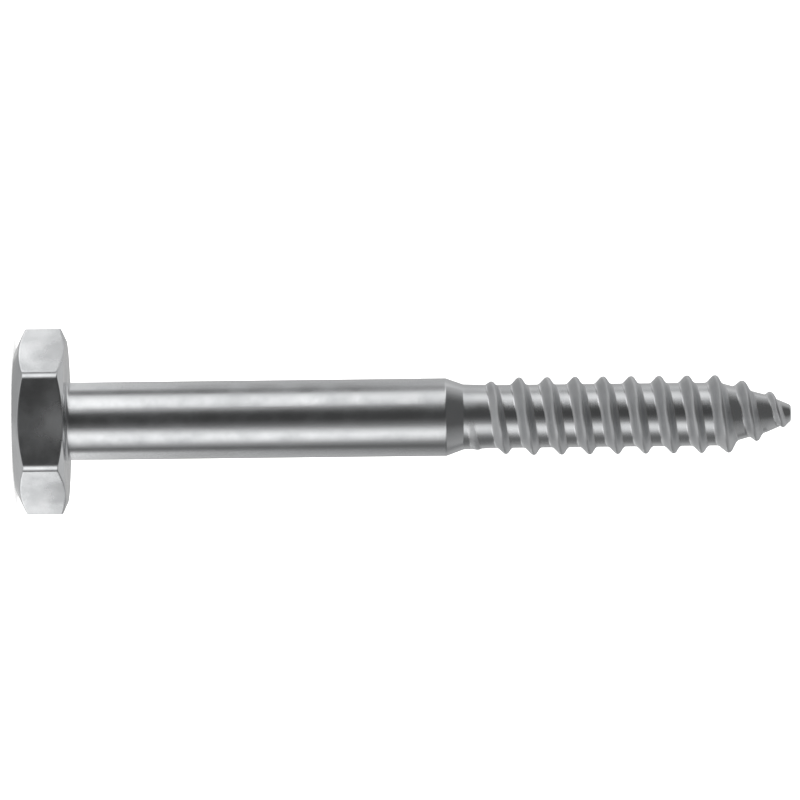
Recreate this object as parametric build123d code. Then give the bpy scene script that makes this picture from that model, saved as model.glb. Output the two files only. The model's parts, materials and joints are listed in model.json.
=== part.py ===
from build123d import *

import os
from math import ceil, cos, radians, sin, tan

# Hexagon-head lag screw (coach screw): one piece of steel with a forged head and a rolled wood thread.
#
# The screw stands on its head, point up. Its axis is the Z axis, the outer face of the head is on Z = 0,
# and two flats of the head face -Y and +Y. While it is drawn, a station is a height above the bearing
# face, which is the side of the head that the shank grows from.
# All sizes are in millimetres and all angles in degrees.

# ---- Head -------------------------------------------------------------------------------------------
head_across_flats = 16.8
head_height = 5.3
head_corner_radius = 1.0
head_chamfer_angle = 25.0
head_top_circle = 0.85 * head_across_flats  # the outer face ends in this circle
head_bearing_circle = 0.995 * head_across_flats  # the bearing face ends in this circle

# ---- Shank, neck and core ---------------------------------------------------------------------------
screw_length = 74.3  # under the head, point included
shank_diameter = 8.0
shank_length = 38.9
under_head_radius = 0.25
neck_length = 1.8
core_diameter = 6.5
core_swell = 0.2  # the core starts this much larger and loses it over the first turn

# ---- Point ------------------------------------------------------------------------------------------
core_point_length = 7.4
point_shoulder_length = 2.5  # the core closes in faster over this last length
point_shoulder_diameter = 3.84
tip_diameter = 1.7
nose_radius = 0.35

# ---- Thread -----------------------------------------------------------------------------------------
thread_diameter = shank_diameter
thread_pitch = 2.87
thread_height = (thread_diameter - core_diameter) / 2
point_flank_angle = 30.0  # lean of the flank that faces the point, from square to the axis
head_flank_angle = 43.0  # lean of the flank that faces the head, which is flatter
crest_radius = 0.45 * thread_height
root_radius = 0.5 * thread_height
run_in_turns = 2.0
run_out_turns = 0.12
run_out_height = 0.15  # share of its height that the ridge keeps where it has sunk away
crest_point_length = 6.4
crest_diameter_at_tip = 2.8
thread_to_tip = 0.4  # the ridge has sunk into the nose this far from the end

# ---- How the ridge is drawn -------------------------------------------------------------------------
thread_start_angle = 180.0  # the ridge begins on the -X side
steps_per_turn = 12
heading_step = 0.001  # of a turn, to take a helix's heading
bury_depth = 0.06  # the ridge's underside lies this far inside the core

# ---- Stations above the bearing face ----------------------------------------------------------------
thread_start = shank_length + neck_length
core_full = thread_start + thread_pitch
run_in_end = thread_start + run_in_turns * thread_pitch
core_point_start = screw_length - core_point_length
point_shoulder = screw_length - point_shoulder_length
crest_point_start = screw_length - crest_point_length
thread_end = screw_length - thread_to_tip
run_out_start = thread_end - run_out_turns * thread_pitch


def between(station, station_from, station_to, value_from, value_to):
    """Straight run from one value to another, held level beyond both ends."""
    share = min(1.0, max(0.0, (station - station_from) / (station_to - station_from)))
    return value_from + share * (value_to - value_from)


def core_radius(station):
    """Radius of the core that carries the ridge: its first turn, its straight run and its point."""
    swell = between(station, thread_start, core_full, core_swell / 2, 0.0)
    first = between(station, core_point_start, point_shoulder, 0.0, core_diameter - point_shoulder_diameter)
    last = between(station, point_shoulder, screw_length, 0.0, point_shoulder_diameter - tip_diameter)
    return core_diameter / 2 + swell - (first + last) / 2


def ridge_height(station):
    """Height of the ridge over the core beneath it, which falls off where the ridge runs out."""
    crest = between(station, crest_point_start, screw_length, thread_diameter, crest_diameter_at_tip)
    kept = between(station, run_out_start, thread_end, 1.0, run_out_height)
    return kept * (crest / 2 - core_radius(station))


def ridge_sink(station):
    """Depth by which the ridge is still sunk in the core, where it runs in and where it runs out."""
    run_in = between(station, thread_start, run_in_end, 1.0, 0.0)
    run_out = between(station, run_out_start, thread_end, 0.0, 1.0)
    return max(run_in, run_out) * (ridge_height(station) + bury_depth)


def ridge_half_section(height, flank_angle):
    """One side of the ridge's section, crest first, as pairs: along the axis, above the core."""
    scale = min(1.0, height / thread_height)
    crest = crest_radius * scale
    root = root_radius * scale
    turn = radians(90.0 - flank_angle)  # from level to flank, at the crest and at the root
    toe = (crest + root) * tan(turn / 2) + height * tan(radians(flank_angle))
    crest_corner = (crest * tan(turn / 2), height)  # the crest's round, boxed in by its tangents
    flank_foot = (toe - root * sin(turn), root * (1 - cos(turn)))
    buried_toe = (toe + bury_depth / tan(turn / 2), -bury_depth)
    return [crest_corner, flank_foot, buried_toe]


def ridge_section(centre):
    """Whole section of the ridge where it is centred on a station, as pairs: radius, station."""
    head_side = ridge_half_section(ridge_height(centre), head_flank_angle)
    point_side = ridge_half_section(ridge_height(centre), point_flank_angle)
    outline = [(centre - along, above) for along, above in reversed(head_side)]
    outline += [(centre + along, above) for along, above in point_side]
    sink = ridge_sink(centre)
    return [(core_radius(station) + above - sink, station) for station, above in outline]


def turned(*outline):
    """Solid turned about the axis from an outline of pairs: radius, station."""
    return revolve(Plane.XZ * make_face(Polyline(*outline, close=True)), Axis.Z)


def head():
    """Hexagon with eased corners, cut to a cone at its outer and at its bearing face."""
    flats = RegularPolygon(head_across_flats / 2, 6, major_radius=False)
    hexagon = fillet(flats.vertices(), head_corner_radius)
    rise = tan(radians(head_chamfer_angle))
    reach = head_across_flats
    cones = turned(
        (0, -head_height),
        (head_top_circle / 2, -head_height),
        (reach, -head_height + (reach - head_top_circle / 2) * rise),
        (reach, -(reach - head_bearing_circle / 2) * rise),
        (head_bearing_circle / 2, 0),
        (0, 0),
    )
    return extrude(hexagon, -head_height) & cones


def blank():
    """Shank, neck, core and point, with the radius under the head and the rounded nose."""
    collar = (head_bearing_circle + shank_diameter) / 4
    outline = Polyline(
        (0, -head_height / 2),
        (collar, -head_height / 2),
        (collar, 0),
        (shank_diameter / 2, 0),
        (shank_diameter / 2, shank_length),
        (core_radius(thread_start), thread_start),
        (core_diameter / 2, core_full),
        (core_diameter / 2, core_point_start),
        (point_shoulder_diameter / 2, point_shoulder),
        (tip_diameter / 2, screw_length),
        (0, screw_length),
        close=True,
    )
    profile = make_face(outline)
    under_head = profile.vertices().sort_by_distance((shank_diameter / 2, 0))[0]
    profile = fillet(under_head, under_head_radius)
    nose = profile.vertices().sort_by_distance((tip_diameter / 2, screw_length))[0]
    profile = fillet(nose, nose_radius)
    return revolve(Plane.XZ * profile, Axis.Z)


def ridge_corners(turn):
    """The section's corners in space, that many turns from the thread's start."""
    section = ridge_section(thread_start + turn * thread_pitch)
    angle = radians(thread_start_angle + 360.0 * turn)
    return [Vector(radius * cos(angle), radius * sin(angle), station) for radius, station in section]


def ridge_headings(turn):
    """Travel of each corner for one more turn, as it runs at that point of its helix."""
    ahead = ridge_corners(turn + heading_step / 2)
    behind = ridge_corners(turn - heading_step / 2)
    return [(far - near) / heading_step for far, near in zip(ahead, behind)]


def ridge_length(first_turn, last_turn):
    """One length of the right-hand ridge: strips between its corners' helices, and two flat ends."""
    steps = ceil((last_turn - first_turn) * steps_per_turn)
    turns = [first_turn + step * (last_turn - first_turn) / steps for step in range(steps + 1)]
    points = zip(*[ridge_corners(turn) for turn in turns])
    headings = zip(ridge_headings(first_turn), ridge_headings(last_turn))
    rails = [
        Edge.make_spline(places, tangents=ends, parameters=turns, scale=False)
        for places, ends in zip(points, headings)
    ]
    strips = [Face.make_surface_from_curves(rail, other) for rail, other in zip(rails, rails[1:] + rails[:1])]
    ends = [Face(Wire.make_polygon([rail @ end for rail in rails])) for end in (0, 1)]
    return Solid(Shell(strips + ends))


def ridge():
    """The thread's ridge in lengths of about one turn each, end to end."""
    turns = (thread_end - thread_start) / thread_pitch
    lengths = ceil(turns)
    return [ridge_length(turns * n / lengths, turns * (n + 1) / lengths) for n in range(lengths)]


screw = Pos(Z=head_height) * (head() + (blank() + ridge()))

os.makedirs("parts", exist_ok=True)
export_step(screw, "parts/lag_screw.step")
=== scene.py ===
"""Looks of a hexagon-head lag screw: forged head, plain shank, rolled wood thread, bright zinc plate.

The screw stands on its head, point up, about the Z axis of the row frame. Lengths in the dataclasses
are millimetres and angles are degrees; they become metres and radians where meshes and nodes are made.
"""

import json
import logging
from dataclasses import dataclass, field
from enum import Enum
from math import atan2, cos, exp, hypot, pi, radians, sin, tan
from typing import Any

import bpy
from mathutils import Matrix, Vector


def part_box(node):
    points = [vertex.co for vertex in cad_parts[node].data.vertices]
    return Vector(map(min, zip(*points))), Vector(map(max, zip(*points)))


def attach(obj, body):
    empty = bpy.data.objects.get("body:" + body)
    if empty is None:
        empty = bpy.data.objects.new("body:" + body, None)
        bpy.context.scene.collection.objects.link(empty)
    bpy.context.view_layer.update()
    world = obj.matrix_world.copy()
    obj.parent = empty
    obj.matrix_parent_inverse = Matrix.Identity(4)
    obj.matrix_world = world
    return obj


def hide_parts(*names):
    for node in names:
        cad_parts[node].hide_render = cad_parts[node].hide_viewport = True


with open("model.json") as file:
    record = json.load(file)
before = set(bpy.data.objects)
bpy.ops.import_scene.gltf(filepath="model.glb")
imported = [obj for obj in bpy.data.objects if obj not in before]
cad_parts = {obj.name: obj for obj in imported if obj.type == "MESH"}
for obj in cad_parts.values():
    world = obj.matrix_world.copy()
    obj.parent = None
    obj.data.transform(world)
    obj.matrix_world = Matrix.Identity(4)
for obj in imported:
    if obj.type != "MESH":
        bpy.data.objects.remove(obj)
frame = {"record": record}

log = logging.getLogger("lag_screw")

MM = 0.001
NODE = "lag_screw"

EASE_LIMIT = 0.45  # an eased corner takes at most this share of either of its sides
SMOOTH_REACH = 6.0  # a smooth minimum or maximum reaches this many times as far as it cuts

Pair = tuple[float, float]


# ---- Colours and node trees -----------------------------------------------------------------------


def linear(code: str) -> tuple[float, float, float, float]:
    """Turns an sRGB colour into the linear values that nodes take.

    Args:
        code: six hexadecimal digits, with or without a leading '#'.

    Returns:
        Linear red, green and blue with full alpha.
    """
    digits = code.lstrip("#")
    parts = [int(digits[i : i + 2], 16) / 255 for i in (0, 2, 4)]
    r, g, b = (p / 12.92 if p <= 0.04045 else ((p + 0.055) / 1.055) ** 2.4 for p in parts)
    return r, g, b, 1.0


def node(
    tree: bpy.types.NodeTree, kind: str, inputs: dict[Any, Any] | None = None, **settings: Any
) -> bpy.types.Node:
    """Adds a node to a tree with its settings, then sets or links its inputs.

    Args:
        tree: the tree that the node goes into.
        kind: the node's type name in Blender.
        inputs: socket name or number to a value, to the output that feeds it, or to a node whose first
            output feeds it.
        **settings: properties of the node.

    Returns:
        The new node.
    """
    made = tree.nodes.new(kind)
    for name, value in settings.items():
        setattr(made, name, value)
    for key, value in (inputs or {}).items():
        source = value.outputs[0] if isinstance(value, bpy.types.Node) else value
        if isinstance(source, bpy.types.NodeSocket):
            tree.links.new(source, made.inputs[key])
        else:
            made.inputs[key].default_value = source
    return made


# ---- Sizes ----------------------------------------------------------------------------------------


@dataclass(frozen=True)
class HeadSizes:
    """Sizes of the hexagon head.

    Attributes:
        across_flats: width between two opposite flats.
        across_corners: width between two opposite corners.
        height: from the outer face to the bearing face.
        outer_share: circle that the outer face ends in, as a share of the width between flats.
        bearing_share: circle that the bearing face ends in, as a share of the same width.
        chamfer: slope of both cones from level.
        outer_ease: radius of the edge round the outer face.
        arc_ease: radius of the arcs where a cone meets a flat.
        bearing_ease: radius of the edge round the bearing face.
        rub_height: height of the middle of the place where spanners rub a flat.
        rub_length: half of that place's length along the flat.
        rub_width: half of its height.
        flat_share: a place counts as on a flat from this share of the flat's distance from the axis.
    """

    across_flats: float
    across_corners: float
    height: float
    outer_share: float = 0.85
    bearing_share: float = 0.995
    chamfer: float = 25.0
    outer_ease: float = 0.16
    arc_ease: float = 0.14
    bearing_ease: float = 0.10
    rub_height: float = 5.0
    rub_length: float = 3.6
    rub_width: float = 3.0
    flat_share: float = 0.97

    @property
    def outer_circle(self) -> float:
        """Circle that the outer face ends in."""
        return self.outer_share * self.across_flats

    @property
    def bearing_circle(self) -> float:
        """Circle that the bearing face ends in."""
        return self.bearing_share * self.across_flats

    @property
    def corner_radius(self) -> float:
        """Radius of the six eased corners, from the widths over the flats and over the corners."""
        sharp = self.across_flats / 2 / cos(radians(30))
        return (sharp - self.across_corners / 2) / (1 / cos(radians(30)) - 1)


@dataclass(frozen=True)
class ShankSizes:
    """Sizes of the plain shank, the neck and the core, with stations above the bearing face.

    Attributes:
        radius: radius of the plain shank.
        length: station where the neck begins.
        total: station of the tip.
        under_head_radius: hollow round between the bearing face and the shank.
        neck_length: length of the cone down to the core.
        core_radius: radius of the core.
        core_swell: how much larger the core's radius is at the end of the neck.
        swell_length: length over which the core loses that swell.
        neck_ease: rounding where the shank turns into the neck.
        core_ease: rounding where the neck turns into the core, and where the core's swell ends.
        point_ease: rounding where the core begins to taper, and where it closes in faster.
        point_length: length over which the core tapers to the tip.
        shoulder_length: last part of it, over which the core closes in faster.
        shoulder_radius: radius of the core where that part begins.
        tip_radius: radius that the point would have at its tip without its nose.
        nose_radius: rounding of the tip.
    """

    radius: float
    length: float
    total: float
    under_head_radius: float = 0.25
    neck_length: float = 1.8
    core_radius: float = 3.25
    core_swell: float = 0.1
    swell_length: float = 2.87
    neck_ease: float = 0.4
    core_ease: float = 0.5
    point_ease: float = 2.0
    point_length: float = 7.4
    shoulder_length: float = 2.5
    shoulder_radius: float = 1.92
    tip_radius: float = 0.85
    nose_radius: float = 0.35

    @property
    def neck_end(self) -> float:
        """Station where the neck ends and the core begins."""
        return self.length + self.neck_length

    @property
    def core_full(self) -> float:
        """Station where the core has lost its swell."""
        return self.neck_end + self.swell_length

    @property
    def point_start(self) -> float:
        """Station where the core begins to taper to the point."""
        return self.total - self.point_length

    @property
    def shoulder(self) -> float:
        """Station from which the core closes in faster."""
        return self.total - self.shoulder_length


@dataclass(frozen=True)
class ThreadSizes:
    """Sizes of the rolled thread, with stations above the bearing face.

    Attributes:
        crest_radius: radius over the crests.
        neck_end: station where the neck ends.
        total: station of the tip.
        pitch: travel of one turn.
        lead_in: distance from the neck to where the ridge begins to rise.
        to_tip: distance from the tip to where it has sunk into the nose.
        head_flank: lean of the flank that faces the head, from square to the axis.
        point_flank: lean of the flank that faces the point.
        crest_round: radius of the crest.
        root_round: radius at the foot of each flank.
        run_in: turns over which the ridge rises.
        run_out: turns over which it sinks.
        point_length: length over which the crests close in on the point.
        crest_at_tip: radius that the crests close in to at the tip.
        start_angle: direction in which the ridge begins.
        narrowest: share of its full width that the ridge starts with.
        rolled_height: height from which the ridge has its rolled finish in full.
    """

    crest_radius: float
    neck_end: float
    total: float
    pitch: float = 2.87
    lead_in: float = 0.745
    to_tip: float = 0.4
    head_flank: float = 43.0
    point_flank: float = 30.0
    crest_round: float = 0.3375
    root_round: float = 0.55
    run_in: float = 1.5
    run_out: float = 0.2
    point_length: float = 6.4
    crest_at_tip: float = 1.4
    start_angle: float = 274.0
    narrowest: float = 0.7
    rolled_height: float = 0.0225

    @property
    def start(self) -> float:
        """Station where the ridge begins to rise."""
        return self.neck_end + self.lead_in

    @property
    def end(self) -> float:
        """Station where the ridge has sunk into the nose."""
        return self.total - self.to_tip

    @property
    def point_start(self) -> float:
        """Station where the crests begin to close in on the point."""
        return self.total - self.point_length


@dataclass(frozen=True)
class GridSizes:
    """How finely the screw's mesh is divided.

    Attributes:
        columns: columns round the shank and the thread, and rows in one pitch of the thread.
        corner_steps: columns over one corner of the head.
        flat_shares: places of the columns over half of a flat, from its middle towards its end.
        face_shares: places of the rings over the outer face, from its middle to its edge.
        chamfer_shares: places of the rows over the outer cone.
        side_shares: places of the rows over a flat's height.
        bearing_shares: places of the rows over the bearing side's cone.
        seat_shares: places of the rings over the bearing face, from its edge towards the shank.
        collar_stations: stations of the first rows above the hollow under the head.
        shank_row: distance between two rows of the plain shank.
        ease_steps: rows over an eased edge.
        nose_steps: rows over the nose.
    """

    columns: int = 60
    corner_steps: int = 8
    flat_shares: tuple[float, ...] = (0.0, 0.2, 0.4, 0.6, 0.78, 0.9, 0.97)
    face_shares: tuple[float, ...] = (0.25, 0.5, 0.75, 0.93)
    chamfer_shares: tuple[float, ...] = (0.15, 0.5, 0.85)
    side_shares: tuple[float, ...] = (0.03, 0.12, 0.3, 0.5, 0.7, 0.88, 0.97)
    bearing_shares: tuple[float, ...] = (0.5,)
    seat_shares: tuple[float, ...] = (0.97, 0.75, 0.6)
    collar_stations: tuple[float, ...] = (0.4, 0.8)
    shank_row: float = 2.0
    ease_steps: int = 5
    nose_steps: int = 12


# ---- Outlines and rings ---------------------------------------------------------------------------


def eased(before: Pair, corner: Pair, after: Pair, radius: float, steps: int) -> list[Pair]:
    """Rounds a corner of an outline with an arc that touches both of its sides.

    Args:
        before: the outline's point before the corner.
        corner: the corner.
        after: the outline's point after the corner.
        radius: the arc's radius, made smaller where a side is too short for it.
        steps: number of chords over the arc.

    Returns:
        The arc's points, which are steps + 1 in number.
    """
    here = Vector(corner)
    back, on = Vector(before) - here, Vector(after) - here
    turn = pi - back.angle(on)
    reach = min(radius * tan(turn / 2), EASE_LIMIT * back.length, EASE_LIMIT * on.length)
    centre = here + (back.normalized() + on.normalized()).normalized() * reach / sin(turn / 2)
    start, end = here + back.normalized() * reach - centre, here + on.normalized() * reach - centre
    arc = [start.slerp(end, i / steps).normalized() * start.length for i in range(steps + 1)]
    return [tuple(centre + p) for p in arc]


def stretch(start: Pair, end: Pair, shares: tuple[float, ...]) -> list[Pair]:
    """Points on a straight run.

    Args:
        start: where the run starts.
        end: where it ends.
        shares: places along it, from 0 at its start to 1 at its end.

    Returns:
        One point for each share.
    """
    return [tuple(Vector(start).lerp(Vector(end), s)) for s in shares]


@dataclass
class Skin:
    """A closed mesh stacked from rings about the Z axis, in millimetres.

    Attributes:
        points: every vertex.
        faces: every face, as vertex numbers, outward side first.
        top: the vertex numbers of the last ring.
    """

    points: list[Vector] = field(default_factory=list)
    faces: list[tuple[int, ...]] = field(default_factory=list)
    top: list[int] = field(default_factory=list)

    def _ring(self, points: list[Vector]) -> list[int]:
        """Adds a ring's points.

        Args:
            points: the points.

        Returns:
            Their vertex numbers.
        """
        first = len(self.points)
        self.points.extend(points)
        return list(range(first, len(self.points)))

    def pole(self, z: float) -> None:
        """Opens the skin with a centre point, or closes the last ring with one.

        Args:
            z: the point's height.
        """
        (centre,) = self._ring([Vector((0, 0, z))])
        if not self.top:
            self.top = [centre]
            return
        pairs = zip(self.top, self.top[1:] + self.top[:1])
        self.faces.extend((a, b, centre) for a, b in pairs)

    def stack(self, points: list[Vector]) -> None:
        """Joins a new ring to the last one, column to column.

        Args:
            points: the new ring, as many points as the last one has, or any number after a pole.
        """
        ring = self._ring(points)
        upper = list(zip(ring, ring[1:] + ring[:1]))
        if len(self.top) == 1:
            self.faces.extend((self.top[0], b, a) for a, b in upper)
        else:
            lower = zip(self.top, self.top[1:] + self.top[:1])
            self.faces.extend((a, b, d, c) for (a, b), (c, d) in zip(lower, upper))
        self.top = ring

    def narrow(self, points: list[Vector]) -> None:
        """Joins a ring with another number of columns to the last one, over a level face.

        Args:
            points: the new ring, whose first point is in the same direction as the last ring's.
        """
        outer, inner = self.top, self._ring(points)

        def turn(ring: list[int], i: int) -> float:
            """Direction of a ring's point, which reaches a whole turn after the last one."""
            p = self.points[ring[i % len(ring)]]
            return atan2(p.y, p.x) % (2 * pi) + (2 * pi if i == len(ring) else 0)

        i = j = 0
        while i < len(outer) or j < len(inner):
            a, b = outer[i % len(outer)], inner[j % len(inner)]
            step_out = j == len(inner) or (i < len(outer) and turn(outer, i + 1) <= turn(inner, j + 1))
            if step_out:
                self.faces.append((a, outer[(i + 1) % len(outer)], b))
                i += 1
            else:
                self.faces.append((a, inner[(j + 1) % len(inner)], b))
                j += 1
        self.top = inner

    def mesh(self, name: str) -> bpy.types.Mesh:
        """Makes the Blender mesh, smooth and in metres.

        Args:
            name: the mesh's name.

        Returns:
            The mesh.
        """
        mesh = bpy.data.meshes.new(name)
        mesh.from_pydata([p * MM for p in self.points], [], self.faces)
        mesh.shade_smooth()
        mesh.validate()
        return mesh


def circle(radius: float, z: float, columns: int) -> list[Vector]:
    """A level ring of evenly spread points that starts on the +X side.

    Args:
        radius: the ring's radius.
        z: the ring's height.
        columns: number of points.

    Returns:
        The points, anticlockwise from above.
    """
    angles = [2 * pi * i / columns for i in range(columns)]
    return [Vector((radius * cos(a), radius * sin(a), z)) for a in angles]


# ---- Head -----------------------------------------------------------------------------------------


@dataclass
class Head:
    """The forged hexagon head, from the middle of its outer face to its bearing face.

    Attributes:
        sizes: the head's sizes.
        grid: how finely it is divided.
    """

    sizes: HeadSizes
    grid: GridSizes

    def columns(self) -> list[Pair]:
        """Directions of the mesh's columns and the hexagon's radius in each, from +X on.

        Returns:
            Pairs of angle and radius; two flats face -Y and +Y.
        """
        s, half = self.sizes, radians(30)
        inset = s.across_flats / 2 - s.corner_radius
        centre, reach = inset / cos(half), inset * tan(half)
        steps = self.grid.corner_steps // 2
        arc = []
        for i in range(steps):
            lean = half * i / steps
            x, y = centre + s.corner_radius * cos(lean), s.corner_radius * sin(lean)
            arc.append((atan2(y, x), hypot(x, y)))
        shares = (*self.grid.flat_shares, 1.0)
        along = [reach * share for share in reversed(shares)] + [-reach * share for share in shares[1:]]
        middle = s.across_flats / 2
        flat = [(half - atan2(offset, middle), hypot(offset, middle)) for offset in along]
        sector = arc + flat + [(2 * half - angle, r) for angle, r in reversed(arc[1:])]
        return [(angle + corner * 2 * half, r) for corner in range(6) for angle, r in sector]

    def side(self, radius: float) -> list[Pair]:
        """Outline of the head in one direction, from the outer face's edge to the bearing face's edge.

        Args:
            radius: the hexagon's radius in that direction.

        Returns:
            Pairs of radius and height.
        """
        s, slope, steps = self.sizes, tan(radians(self.sizes.chamfer)), self.grid.ease_steps
        outer, bearing = s.outer_circle / 2, s.bearing_circle / 2
        corners = [
            (outer / 2, 0.0),
            (outer, 0.0),
            (radius, (radius - outer) * slope),
            (radius, s.height - (radius - bearing) * slope),
            (bearing, s.height),
            (bearing / 2, s.height),
        ]
        eases = [s.outer_ease, s.arc_ease, s.arc_ease, s.bearing_ease]
        arcs = [eased(*corners[i : i + 3], ease, steps) for i, ease in enumerate(eases)]
        between = [self.grid.chamfer_shares, self.grid.side_shares, self.grid.bearing_shares]
        outline = list(arcs[0])
        for shares, last, arc in zip(between, arcs, arcs[1:]):
            outline += stretch(last[-1], arc[0], shares) + arc
        return outline

    def rub(self, point: Vector) -> float:
        """How much a place is dulled by the spanner, from 0 to 1.

        Each flat is dulled the same way: about the middle of its bearing side.

        Args:
            point: the place, in millimetres.

        Returns:
            The share, which falls to a seventh at the rubbed place's rim and is 0 away from the flats.
        """
        s = self.sizes
        sector = (atan2(point.y, point.x) + pi / 2) % radians(60)
        sector -= radians(60) if sector > radians(30) else 0.0
        reach = hypot(point.x, point.y)
        if point.z > s.height or reach * cos(sector) < s.flat_share * s.across_flats / 2:
            return 0.0
        along = reach * sin(sector) / s.rub_length
        up = (point.z - s.rub_height) / s.rub_width
        return exp(-2 * (along * along + up * up))

    def build(self, skin: Skin) -> None:
        """Stacks the head's rings.

        Args:
            skin: the empty skin that they go on.
        """
        columns = self.columns()
        sides = [self.side(radius) for _, radius in columns]
        skin.pole(0.0)
        edge = min(side[0][0] for side in sides)
        for share in self.grid.face_shares:
            skin.stack([Vector((edge * share * cos(a), edge * share * sin(a), 0.0)) for a, _ in columns])
        for row in zip(*sides):
            skin.stack([Vector((r * cos(a), r * sin(a), z)) for (a, _), (r, z) in zip(columns, row)])
        for share in self.grid.seat_shares:
            radius = share * self.sizes.bearing_circle / 2
            skin.stack([Vector((radius * cos(a), radius * sin(a), self.sizes.height)) for a, _ in columns])
        log.info("head: %d columns, %d faces", len(columns), len(skin.faces))


# ---- Shank, neck, core and point ------------------------------------------------------------------


@dataclass
class Blank:
    """The turned blank that the thread is rolled on: shank, neck, core and point.

    Attributes:
        sizes: the blank's sizes.
        thread: sizes of the thread that its rows make room for.
        grid: how finely it is divided.
        base: height of the bearing face.
    """

    sizes: ShankSizes
    thread: ThreadSizes
    grid: GridSizes
    base: float

    def outline(self) -> list[Pair]:
        """Outline of the neck, the core and the point, each corner eased.

        Returns:
            Pairs of radius and station.
        """
        s = self.sizes
        corners = [
            (s.radius, 0.0, 0.0),
            (s.radius, s.length, s.neck_ease),
            (s.core_radius + s.core_swell, s.neck_end, s.core_ease),
            (s.core_radius, s.core_full, s.core_ease),
            (s.core_radius, s.point_start, s.point_ease),
            (s.shoulder_radius, s.shoulder, s.point_ease),
            (s.tip_radius, s.total, s.nose_radius),
            (0.0, s.total, 0.0),
        ]
        flat = [(r, z) for r, z, _ in corners]
        line = [flat[0]]
        for i in range(1, len(corners) - 1):
            steps = self.grid.nose_steps if i == len(corners) - 2 else self.grid.ease_steps
            line += eased(flat[i - 1], flat[i], flat[i + 1], corners[i][2], steps)
        return line + [flat[-1]]

    def radius_at(self, line: list[Pair], station: float) -> float:
        """Radius of the blank at a station.

        Args:
            line: the blank's outline.
            station: height above the bearing face.

        Returns:
            The radius.
        """
        for (r0, z0), (r1, z1) in zip(line, line[1:]):
            if z0 <= station <= z1 and z1 > z0:
                return r0 + (r1 - r0) * (station - z0) / (z1 - z0)
        return line[-1][0]

    def build(self, skin: Skin) -> None:
        """Stacks the blank's rings on the head's bearing face and closes them at the tip.

        Args:
            skin: the skin that carries the head.
        """
        s, count = self.sizes, self.grid.columns
        outer, hollow = s.radius + s.under_head_radius, s.under_head_radius
        skin.narrow(circle(outer + hollow, self.base, count))
        for i in range(self.grid.ease_steps + 1):
            lean = pi / 2 * i / self.grid.ease_steps
            skin.stack(circle(outer - hollow * sin(lean), self.base + hollow * (1 - cos(lean)), count))
        row = self.thread.pitch / count
        rows_start = self.thread.start - self.thread.pitch
        shank_row = self.grid.shank_row
        plain = [*self.grid.collar_stations] + [shank_row * i for i in range(1, int(rows_start / shank_row))]
        fine = [rows_start + row * i for i in range(int((self.thread.end - rows_start) / row) + 1)]
        line = self.outline()
        for station in plain + fine:
            skin.stack(circle(self.radius_at(line, station), self.base + station, count))
        for radius, station in line[:-1]:
            if station > fine[-1] + row / 2:
                skin.stack(circle(radius, self.base + station, count))
        skin.pole(self.base + s.total)
        log.info("shank and core: %d rows, %d faces in all", len(fine), len(skin.faces))


# ---- Thread ---------------------------------------------------------------------------------------


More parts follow.
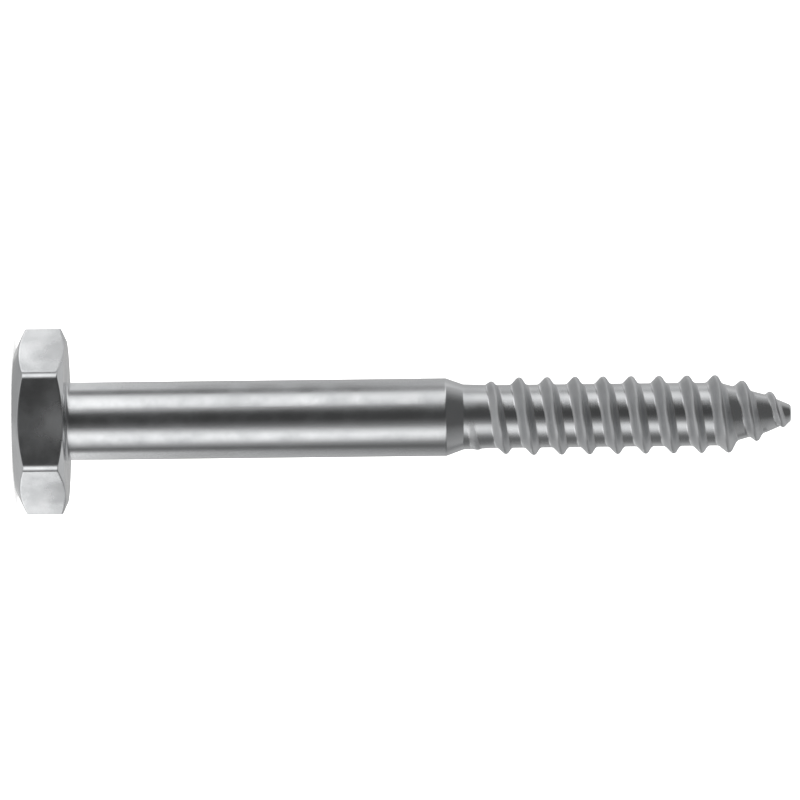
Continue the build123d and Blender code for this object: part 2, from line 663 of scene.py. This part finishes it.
@dataclass
class Thread:
    """The rolled wood thread: a Geometry Nodes rule that raises a helical ridge on the blank.

    Attributes:
        sizes: the thread's sizes.
        blank: the blank's sizes.
        base: height of the bearing face.
    """

    sizes: ThreadSizes
    blank: ShankSizes
    base: float

    def inputs(self) -> dict[str, float]:
        """Values of the rule's named inputs, in metres, radians and shares.

        Returns:
            Input name to value.
        """
        s, b = self.sizes, self.blank
        return {
            "Pitch": s.pitch * MM,
            "Start": (self.base + s.start) * MM,
            "End": (self.base + s.end) * MM,
            "Tip": (self.base + b.total) * MM,
            "Start Angle": radians(s.start_angle),
            "Crest Radius": s.crest_radius * MM,
            "Crest Point Start": (self.base + s.point_start) * MM,
            "Crest Radius At Tip": s.crest_at_tip * MM,
            "Core Radius": b.core_radius * MM,
            "Core Swell": b.core_swell * MM,
            "Core Start": (self.base + b.neck_end) * MM,
            "Core Full": (self.base + b.core_full) * MM,
            "Core Point Start": (self.base + b.point_start) * MM,
            "Core Shoulder": (self.base + b.shoulder) * MM,
            "Core Radius At Shoulder": b.shoulder_radius * MM,
            "Core Radius At Tip": b.tip_radius * MM,
            "Head Flank": radians(s.head_flank),
            "Point Flank": radians(s.point_flank),
            "Crest Round": s.crest_round * MM,
            "Root Round": s.root_round * MM,
            "Run In": s.run_in * s.pitch * MM,
            "Run Out": s.run_out * s.pitch * MM,
            "Full Height": (s.crest_radius - b.core_radius) * MM,
            "Narrowest": s.narrowest,
            "Rolled Height": s.rolled_height * MM,
        }

    def steps(self) -> list[tuple[Any, ...]]:
        """The rule worked out step by step, for a point of the blank at x, y, z.

        Returns:
            Rows of a step's name, its operation and its terms. A term is a number, the name of an input
            or of an earlier step, or a coordinate. RAMP runs straight between two stations and stays
            level beyond both: the station, where it starts and ends, and its value at the start and end.
        """
        place = [
            # The point's distance from the axis, and how far along the axis the ridge's middle is from it.
            ("x squared", "MULTIPLY", "x", "x"),
            ("y squared", "MULTIPLY", "y", "y"),
            ("radius squared", "ADD", "x squared", "y squared"),
            ("radius", "SQRT", "radius squared"),
            ("direction", "ARCTAN2", "y", "x"),
            ("angle", "SUBTRACT", "direction", "Start Angle"),
            ("turned", "DIVIDE", "angle", 2 * pi),
            ("climb", "SUBTRACT", "z", "Start"),
            ("travelled", "DIVIDE", "climb", "Pitch"),
            ("behind", "SUBTRACT", "travelled", "turned"),
            ("share of pitch", "WRAP", "behind", 0.5, -0.5),
            ("offset", "MULTIPLY", "share of pitch", "Pitch"),
            ("middle", "SUBTRACT", "z", "offset"),
        ]
        height = [
            # The core beneath the ridge's middle: its swell, its straight run and its two tapers.
            ("swell", "RAMP", "middle", "Core Start", "Core Full", "Core Swell", 0.0),
            ("straight", "ADD", "Core Radius", "swell"),
            ("first depth", "SUBTRACT", "Core Radius", "Core Radius At Shoulder"),
            ("first taper", "RAMP", "middle", "Core Point Start", "Core Shoulder", 0.0, "first depth"),
            ("tapered", "SUBTRACT", "straight", "first taper"),
            ("last depth", "SUBTRACT", "Core Radius At Shoulder", "Core Radius At Tip"),
            ("last taper", "RAMP", "middle", "Core Shoulder", "Tip", 0.0, "last depth"),
            ("core", "SUBTRACT", "tapered", "last taper"),
            # The crest's height over it, and the share of it that has risen and not yet sunk away.
            ("crest", "RAMP", "middle", "Crest Point Start", "Tip", "Crest Radius", "Crest Radius At Tip"),
            ("height", "SUBTRACT", "crest", "core"),
            ("part of full", "DIVIDE", "height", "Full Height"),
            ("scale", "MINIMUM", "part of full", 1.0),
            ("risen", "ADD", "Start", "Run In"),
            ("rise", "RAMP", "middle", "Start", "risen", 0.0, 1.0),
            ("sinking", "SUBTRACT", "End", "Run Out"),
            ("fall", "RAMP", "middle", "sinking", "End", 1.0, 0.0),
            ("share", "MINIMUM", "rise", "fall"),
        ]
        section = [
            # The lean of the flank on this side of the middle, and the reach of its two rounds.
            ("on head side", "LESS_THAN", "offset", 0.0),
            ("flatter", "SUBTRACT", "Head Flank", "Point Flank"),
            ("extra lean", "MULTIPLY", "on head side", "flatter"),
            ("lean", "ADD", "Point Flank", "extra lean"),
            ("turn", "SUBTRACT", pi / 2, "lean"),
            ("half turn", "DIVIDE", "turn", 2.0),
            ("cosine", "COSINE", "half turn"),
            ("secant", "DIVIDE", 1.0, "cosine"),
            ("beyond round", "SUBTRACT", "secant", 1.0),
            ("cut", "MULTIPLY", "beyond round", "secant"),
            ("reach", "MULTIPLY", "cut", SMOOTH_REACH),
            ("crest round", "MULTIPLY", "Crest Round", "scale"),
            ("crest reach", "MULTIPLY", "crest round", "reach"),
            ("root round", "MULTIPLY", "Root Round", "scale"),
            ("root reach", "MULTIPLY", "root round", "reach"),
            # The flank, which starts where the crest's round ends and is narrower where the ridge is low.
            ("spread", "SQRT", "share"),
            ("width", "MAXIMUM", "spread", "Narrowest"),
            ("distance", "ABSOLUTE", "offset"),
            ("beside", "DIVIDE", "distance", "width"),
            ("tangent", "TANGENT", "half turn"),
            ("crest half", "MULTIPLY", "crest round", "tangent"),
            ("away", "SUBTRACT", "beside", "crest half"),
            ("steepness", "TANGENT", "lean"),
            ("drop", "DIVIDE", "away", "steepness"),
            ("flank", "SUBTRACT", "height", "drop"),
            ("crested", "SMOOTH_MIN", "flank", "height", "crest reach"),
            ("footed", "SMOOTH_MAX", "crested", 0.0, "root reach"),
            ("raised", "MULTIPLY", "footed", "share"),
        ]
        result = [
            # The point's new place, and how much of the rolled finish it has.
            ("new radius", "ADD", "radius", "raised"),
            ("old radius", "MAXIMUM", "radius", 1e-6),
            ("growth", "DIVIDE", "new radius", "old radius"),
            ("new x", "MULTIPLY", "x", "growth"),
            ("new y", "MULTIPLY", "y", "growth"),
            ("part rolled", "DIVIDE", "raised", "Rolled Height"),
            ("rolled", "MINIMUM", "part rolled", 1.0),
        ]
        return place + height + section + result

    def rule(self) -> bpy.types.NodeTree:
        """Makes the node tree of the rule.

        Returns:
            The tree, with its named inputs, which ends in Realize Instances and Set Material.
        """
        tree = bpy.data.node_groups.new("rolled_wood_thread", "GeometryNodeTree")
        face = tree.interface
        face.new_socket("Geometry", in_out="INPUT", socket_type="NodeSocketGeometry")
        for name in self.inputs():
            face.new_socket(name, in_out="INPUT", socket_type="NodeSocketFloat")
        face.new_socket("Material", in_out="INPUT", socket_type="NodeSocketMaterial")
        face.new_socket("Geometry", in_out="OUTPUT", socket_type="NodeSocketGeometry")
        given = node(tree, "NodeGroupInput").outputs
        split = node(tree, "ShaderNodeSeparateXYZ", {0: node(tree, "GeometryNodeInputPosition")}).outputs
        known: dict[Any, Any] = {name: given[name] for name in self.inputs()}
        known.update(zip("xyz", split))
        for name, operation, *terms in self.steps():
            feeds = {i: known.get(term, term) for i, term in enumerate(terms)}
            if operation == "RAMP":
                known[name] = node(tree, "ShaderNodeMapRange", feeds, clamp=True)
            else:
                known[name] = node(tree, "ShaderNodeMath", feeds, operation=operation)
        moved = node(tree, "ShaderNodeCombineXYZ", {0: known["new x"], 1: known["new y"], 2: known["z"]})
        raised = node(tree, "GeometryNodeSetPosition", {"Geometry": given["Geometry"], "Position": moved})
        values = {"Geometry": raised, "Name": "ridge", "Value": known["rolled"]}
        stored = node(tree, "GeometryNodeStoreNamedAttribute", values, data_type="FLOAT", domain="POINT")
        real = node(tree, "GeometryNodeRealizeInstances", {0: stored})
        dressed = node(tree, "GeometryNodeSetMaterial", {"Geometry": real, "Material": given["Material"]})
        node(tree, "NodeGroupOutput", {0: dressed})
        return tree

    def roll(self, screw: bpy.types.Object, material: bpy.types.Material) -> None:
        """Raises the thread on the blank and keeps the result as a plain mesh.

        Args:
            screw: the object that holds the blank.
            material: its finish.
        """
        modifier = screw.modifiers.new("thread", "NODES")
        modifier.node_group = self.rule()
        values: dict[str, Any] = {**self.inputs(), "Material": material}
        for item in modifier.node_group.interface.items_tree:
            if item.in_out == "INPUT" and item.name in values:
                modifier[item.identifier] = values[item.name]
        seen = screw.evaluated_get(bpy.context.evaluated_depsgraph_get())
        mesh = bpy.data.meshes.new_from_object(seen)
        screw.modifiers.clear()
        screw.data = mesh
        log.info("thread: %d faces after rolling", len(mesh.polygons))


# ---- Finish ---------------------------------------------------------------------------------------


@dataclass(frozen=True)
class ZincPlate:
    """Bright zinc plate over cold-worked steel.

    Attributes:
        bright: colour of the plate where it was burnished.
        dull: colour of the plate in its faint, cloudy patches.
        roughness_low: roughness of the smoothest places.
        roughness_high: roughness of the cloudy patches.
        cloud_low: value of the clouds up to which a place is smoothest.
        cloud_high: value of the clouds from which a place is at its roughest.
        rolled_roughness: how much rougher the ridge is, where the rolls pressed it up.
        rubbed_roughness: how much rougher a flat gets, at most, where spanners rub it.
        cloud: width of a cloudy patch.
        wear: width of the patches within a rubbed place.
        grain: width of the plate's fine grain.
        grain_height: depth of that grain.
        draw_width: width of the fine lines that drawing the wire left along the shank.
        draw_length: how many times longer than wide those lines are.
        draw_height: depth of those lines.
        relief: share of both depths that the light shows.
        detail: finest octave of the patterns, and of the wear.
    """

    bright: str = "#D6D7D8"
    dull: str = "#C2C4C6"
    roughness_low: float = 0.13
    roughness_high: float = 0.24
    cloud_low: float = 0.3
    cloud_high: float = 0.7
    rolled_roughness: float = 0.32
    rubbed_roughness: float = 0.32
    cloud: float = 2.4
    wear: float = 3.6
    grain: float = 0.16
    grain_height: float = 0.009
    draw_width: float = 0.10
    draw_length: float = 60.0
    draw_height: float = 0.006
    relief: float = 0.35
    detail: tuple[float, float] = (3.0, 1.0)

    def material(self) -> bpy.types.Material:
        """Makes the finish.

        Returns:
            The material.
        """
        # Plate over forged and drawn steel gives the eye a cool white metal. It mirrors the room in soft
        # bands on the shank and in the grooves, and in a satin grey on the ridge.
        made = bpy.data.materials.new("bright_zinc_plate")
        made.use_nodes = True
        tree = made.node_tree
        tree.nodes.clear()
        place = node(tree, "ShaderNodeTexCoord").outputs["Object"]

        # The real grain and drawing lines are hundredths of a millimetre wide. They are drawn ten times as
        # coarse, so that they show.
        fine, broad = self.detail
        patterns = {}
        for name, width, length, detail in (
            ("clouds", self.cloud, 1.0, fine),
            ("wear", self.wear, 1.0, broad),
            ("lines", self.draw_width, self.draw_length, fine),
            ("grain", self.grain, 1.0, fine),
        ):
            across, along = 1 / (width * MM), 1 / (width * length * MM)
            at = node(tree, "ShaderNodeMapping", {"Vector": place, "Scale": (across, across, along)})
            patterns[name] = node(tree, "ShaderNodeTexNoise", {"Vector": at, "Scale": 1.0, "Detail": detail})

        clouds, wear = patterns["clouds"], patterns["wear"]
        colours = {"Factor": clouds, "A": linear(self.bright), "B": linear(self.dull)}
        tint = node(tree, "ShaderNodeMix", colours, data_type="RGBA").outputs["Result"]
        spread = {"From Min": self.cloud_low, "From Max": self.cloud_high}
        limits = {"To Min": self.roughness_low, "To Max": self.roughness_high}
        rough = node(tree, "ShaderNodeMapRange", {"Value": clouds, **spread, **limits})
        ridge = node(tree, "ShaderNodeAttribute", attribute_name="ridge").outputs["Fac"]
        rub = node(tree, "ShaderNodeAttribute", attribute_name="rub").outputs["Fac"]
        worn = node(tree, "ShaderNodeMath", {0: rub, 1: wear}, operation="MULTIPLY")
        for place_share, extra in ((ridge, self.rolled_roughness), (worn, self.rubbed_roughness)):
            feeds = {0: place_share, 1: extra, 2: rough}
            rough = node(tree, "ShaderNodeMath", feeds, operation="MULTIPLY_ADD")

        lines = {"Height": patterns["lines"], "Distance": self.draw_height * MM, "Strength": self.relief}
        drawn = node(tree, "ShaderNodeBump", lines)
        grain = {"Height": patterns["grain"], "Distance": self.grain_height * MM, "Strength": self.relief}
        grained = node(tree, "ShaderNodeBump", {**grain, "Normal": drawn})
        looks = {"Base Color": tint, "Metallic": 1.0, "Roughness": rough, "Normal": grained}
        node(tree, "ShaderNodeOutputMaterial", {"Surface": node(tree, "ShaderNodeBsdfPrincipled", looks)})
        return made


# ---- The whole screw ------------------------------------------------------------------------------


@dataclass
class LagScrew:
    """The lag screw as one closed skin.

    Attributes:
        head: the head's builder.
        blank: the blank's builder.
        thread: the thread's builder.
        finish: the screw's finish.
    """

    head: Head
    blank: Blank
    thread: Thread
    finish: ZincPlate

    def build(self) -> bpy.types.Object:
        """Builds the screw at the origin, unturned and unscaled.

        Returns:
            The screw.
        """
        skin = Skin()
        self.head.build(skin)
        self.blank.build(skin)
        mesh = skin.mesh("zinc_plated_screw")
        rub = mesh.attributes.new("rub", "FLOAT", "POINT")
        rub.data.foreach_set("value", [self.head.rub(point) for point in skin.points])
        screw = bpy.data.objects.new("zinc_plated_screw", mesh)
        bpy.context.scene.collection.objects.link(screw)
        return screw

    def dress(self, screw: bpy.types.Object) -> None:
        """Rolls the thread, gives the screw its finish and sets it on the frame.

        Args:
            screw: the screw from build().
        """
        self.thread.roll(screw, self.finish.material())
        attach(screw, "root")
        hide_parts(NODE)


def lag_screw(record: dict[str, Any], low: Vector, high: Vector) -> LagScrew:
    """Takes the screw's main sizes from the record and from the node's box.

    Args:
        record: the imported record.
        low: lowest corner of the node's box.
        high: highest corner of the node's box.

    Returns:
        The screw's builder.
    """
    mounts = {m["name"]: m for m in record["mounts"]}
    base = mounts["bearing_face"]["pos_m"][2] / MM
    shank = mounts["shank"]
    head = HeadSizes(
        across_flats=(high.y - low.y) / MM,
        across_corners=(high.x - low.x) / MM,
        height=base,
    )
    blank = ShankSizes(
        radius=shank["dims"]["r_mm"],
        length=shank["dims"]["length_mm"] + ShankSizes.under_head_radius,
        total=high.z / MM - base,
    )
    thread = ThreadSizes(crest_radius=blank.radius, neck_end=blank.neck_end, total=blank.total)
    grid = GridSizes()
    return LagScrew(
        head=Head(head, grid),
        blank=Blank(blank, thread, grid, base),
        thread=Thread(thread, blank, base),
        finish=ZincPlate(),
    )


# ---- Studio ---------------------------------------------------------------------------------------


class Wall(Enum):
    """The tents round the screw from the top down, by their objects' names."""

    HOOD = "tent_hood"
    THREAD = "tent_thread_wall"
    SHANK = "tent_shank_wall"
    SKIRT = "tent_skirt"
    CELLAR = "tent_cellar"
    BASE = "tent_base"


@dataclass(frozen=True)
class LightTent:
    """A round tent of white cloth about the screw, lit unevenly from outside so that metal shows bands.

    Attributes:
        wall: which of the tents it is.
        low: height of its lower rim, in metres.
        high: height of its upper rim, in metres.
        bands: angle from the camera's side, negative towards +X and positive towards -X, to brightness.
        radius: the tent's radius, in metres.
        columns: number of its flat panels.
    """

    wall: Wall
    low: float
    high: float
    bands: tuple[Pair, ...]
    radius: float = 0.9
    columns: int = 96

    def build(self) -> bpy.types.Object:
        """Makes the tent.

        Returns:
            The tent, which only the metal mirrors and the camera doesn't see.
        """
        name, count = self.wall.value, self.columns
        mesh = bpy.data.meshes.new(name)
        rims = circle(self.radius, self.low, count) + circle(self.radius, self.high, count)
        faces = [(i, (i + 1) % count, count + (i + 1) % count, count + i) for i in range(count)]
        mesh.from_pydata(rims, [], faces)
        tent = bpy.data.objects.new(name, mesh)
        bpy.context.scene.collection.objects.link(tent)
        mesh.materials.append(self.cloth())
        tent.visible_camera = False
        tent.visible_diffuse = False
        return tent

    def cloth(self) -> bpy.types.Material:
        """Makes the lit cloth, whose brightness follows the bands.

        Returns:
            The material.
        """
        made = bpy.data.materials.new(self.wall.value + "_cloth")
        made.use_nodes = True
        tree = made.node_tree
        tree.nodes.clear()
        place = node(tree, "ShaderNodeSeparateXYZ", {0: node(tree, "ShaderNodeTexCoord").outputs["Object"]})
        back = []
        for way in place.outputs[:2]:
            back.append(node(tree, "ShaderNodeMath", {0: way, 1: -1.0}, operation="MULTIPLY"))
        angle = node(tree, "ShaderNodeMath", dict(enumerate(back)), operation="ARCTAN2")
        share = node(tree, "ShaderNodeMath", {0: angle, 1: 1 / (2 * pi), 2: 0.5}, operation="MULTIPLY_ADD")
        ramp = node(tree, "ShaderNodeValToRGB", {"Fac": share})
        ramp.color_ramp.interpolation = "LINEAR"
        stops = ramp.color_ramp.elements
        while len(stops) > 1:
            stops.remove(stops[-1])
        for degrees, level in self.bands:
            stop = stops[0] if degrees == -180 else stops.new(degrees / 360 + 0.5)
            stop.color = (level, level, level, 1.0)
        node(tree, "ShaderNodeOutputMaterial", {"Surface": node(tree, "ShaderNodeEmission", {"Color": ramp})})
        return made


@dataclass(frozen=True)
class Studio:
    """Pale floor, soft light and camera.

    Attributes:
        distance: camera to the screw's axis, in metres.
        lens: focal length, in millimetres on a 36 mm sensor.
        eye: height of the camera over the floor, in millimetres.
        aim: height that the picture's middle falls on, in millimetres.
        rise: distance of the axis below the picture's middle, in millimetres.
        roll: angle by which the axis climbs to the right in the picture, in degrees.
        daylight: brightness of the white surroundings.
        floor_colour: colour of the floor.
        floor_glow: brightness of the light that shines up through the floor.
        floor_radius: radius of the floor, in metres.
        rims: heights of the tents' rims from the top down, in metres.
    """

    distance: float = 0.7375
    lens: float = 323.3
    eye: float = 44.2
    aim: float = 39.5
    rise: float = 1.81
    roll: float = 0.66
    daylight: float = 1.6
    floor_colour: str = "#F4F4F3"
    floor_glow: float = 0.6
    floor_radius: float = 12.0
    rims: tuple[float, ...] = (15.0, 0.42, 0.045, -0.04, -0.12, -0.35, -15.0)

    def camera(self) -> None:
        """Sets the camera square to the screw on the -Y side, with the head on its left."""
        up = Vector((-1, 0, 0))
        data = bpy.data.cameras.new("camera")
        data.lens, data.sensor_width = self.lens, 36.0
        data.clip_start, data.clip_end = 0.05, 20.0
        camera = bpy.data.objects.new("camera", data)
        bpy.context.scene.collection.objects.link(camera)
        lifted = up * self.rise * MM
        place = lifted + Vector((0, -self.distance, self.eye * MM))
        back = (place - lifted - Vector((0, 0, self.aim * MM))).normalized()
        right = up.cross(back).normalized()
        turn = Matrix.Rotation(radians(-self.roll), 4, back)
        right, above = turn @ right, turn @ back.cross(right)
        camera.matrix_world = Matrix.Translation(place) @ Matrix((right, above, back)).transposed().to_4x4()
        bpy.context.scene.camera = camera

    def floor(self) -> None:
        """Lays the floor under the screw's head."""
        mesh = bpy.data.meshes.new("floor")
        rim = circle(self.floor_radius, 0.0, 64)
        mesh.from_pydata(rim, [], [tuple(range(len(rim)))])
        floor = bpy.data.objects.new("floor", mesh)
        bpy.context.scene.collection.objects.link(floor)
        material = bpy.data.materials.new("pale_floor")
        material.use_nodes = True
        paper = {
            "Base Color": linear(self.floor_colour),
            "Roughness": 0.9,
            "Specular IOR Level": 0.0,
            "Emission Color": linear(self.floor_colour),
            "Emission Strength": self.floor_glow,
        }
        for name, value in paper.items():
            material.node_tree.nodes["Principled BSDF"].inputs[name].default_value = value
        mesh.materials.append(material)
        floor.visible_glossy = False

    def surroundings(self) -> None:
        """Sets the even white light all round, which metal doesn't mirror."""
        world = bpy.data.worlds.new("white_room")
        bpy.context.scene.world = world
        world.use_nodes = True
        sky = world.node_tree.nodes["Background"]
        sky.inputs["Color"].default_value = (1, 1, 1, 1)
        sky.inputs["Strength"].default_value = self.daylight
        world.cycles_visibility.glossy = False
        bpy.context.scene.view_settings.view_transform = "Standard"

    def bands(self) -> dict[Wall, tuple[Pair, ...]]:
        """Bands of every tent: the dark strips and bright panels that give polished metal its form.

        Returns:
            Tent to its bands, each an angle from the camera's side and a brightness.
        """
        front = (
            (-77, 0.4), (-63, 1.15), (-51, 1.55), (-43, 1.35), (-35, 0.8), (-24, 0.3), (-12, 0.14),
            (-3, 0.065), (12, 0.06), (24, 0.12), (35, 0.38), (43, 1.25), (52, 1.5), (68, 1.3), (78, 0.95),
        )
        return {
            Wall.HOOD: (
                (-180, 0.72), (-110, 0.5), (-70, 0.34), (-45, 0.22), (-28, 0.12), (60, 0.12), (80, 0.26),
                (100, 0.5), (180, 0.72),
            ),
            Wall.THREAD: (
                (-180, 0.5), (-138, 0.5), (-116, 0.24), (-99, 0.18), (-83, 0.2), (-70, 0.34), (-56, 0.82),
                (-44, 1.1), (-33, 0.95), (-22, 0.36), (-10, 0.16), (0, 0.09), (22, 0.08), (33, 0.11),
                (45, 0.24), (56, 0.62), (68, 1.1), (84, 1.1), (99, 0.64), (116, 0.8), (138, 0.6), (180, 0.5),
            ),
            Wall.SHANK: (
                (-180, 0.5), (-138, 0.55), (-112, 0.42), (-101, 0.24), (-91, 0.16), *front,
                (88, 0.24), (98, 0.24), (112, 0.38), (138, 0.6), (180, 0.5),
            ),
            Wall.SKIRT: (
                (-180, 0.9), (-128, 1.45), (-112, 1.7), (-101, 0.4), (-90, 0.2), (-78, 0.9), (-60, 1.6),
                (-38, 1.6), (-29, 0.9), (-19, 0.12), (-5, 0.05), (8, 0.05), (20, 0.12), (30, 0.9),
                (40, 1.6), (62, 1.6), (78, 1.0), (88, 0.3), (98, 0.4), (112, 1.7), (128, 1.4), (180, 0.9),
            ),
            Wall.CELLAR: (
                (-180, 0.7), (-128, 0.8), (-112, 0.8), (-101, 0.45), (-90, 0.3), (-60, 0.6), (-30, 0.5),
                (0, 0.3), (30, 0.5), (60, 0.6), (90, 0.4), (112, 0.8), (128, 0.8), (180, 0.7),
            ),
            Wall.BASE: (
                (-180, 0.6), (-140, 0.6), (-100, 0.55), (-60, 0.75), (0, 0.62), (60, 0.55), (140, 0.42),
                (180, 0.45),
            ),
        }

    def build(self) -> None:
        """Builds the whole studio."""
        self.surroundings()
        self.floor()
        self.camera()
        bands = self.bands()
        for wall, high, low in zip(Wall, self.rims, self.rims[1:]):
            LightTent(wall, low, high, bands[wall]).build()
        log.info("studio: floor, %d tents and camera", len(bands))


def main() -> None:
    """Builds the screw on its frame, then the studio."""
    logging.basicConfig(level=logging.INFO, format="%(message)s")
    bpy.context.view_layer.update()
    builder = lag_screw(frame["record"], *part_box(NODE))
    screw = builder.build()
    builder.dress(screw)
    Studio().build()
    bpy.context.view_layer.update()


if __name__ == "__main__":
    main()
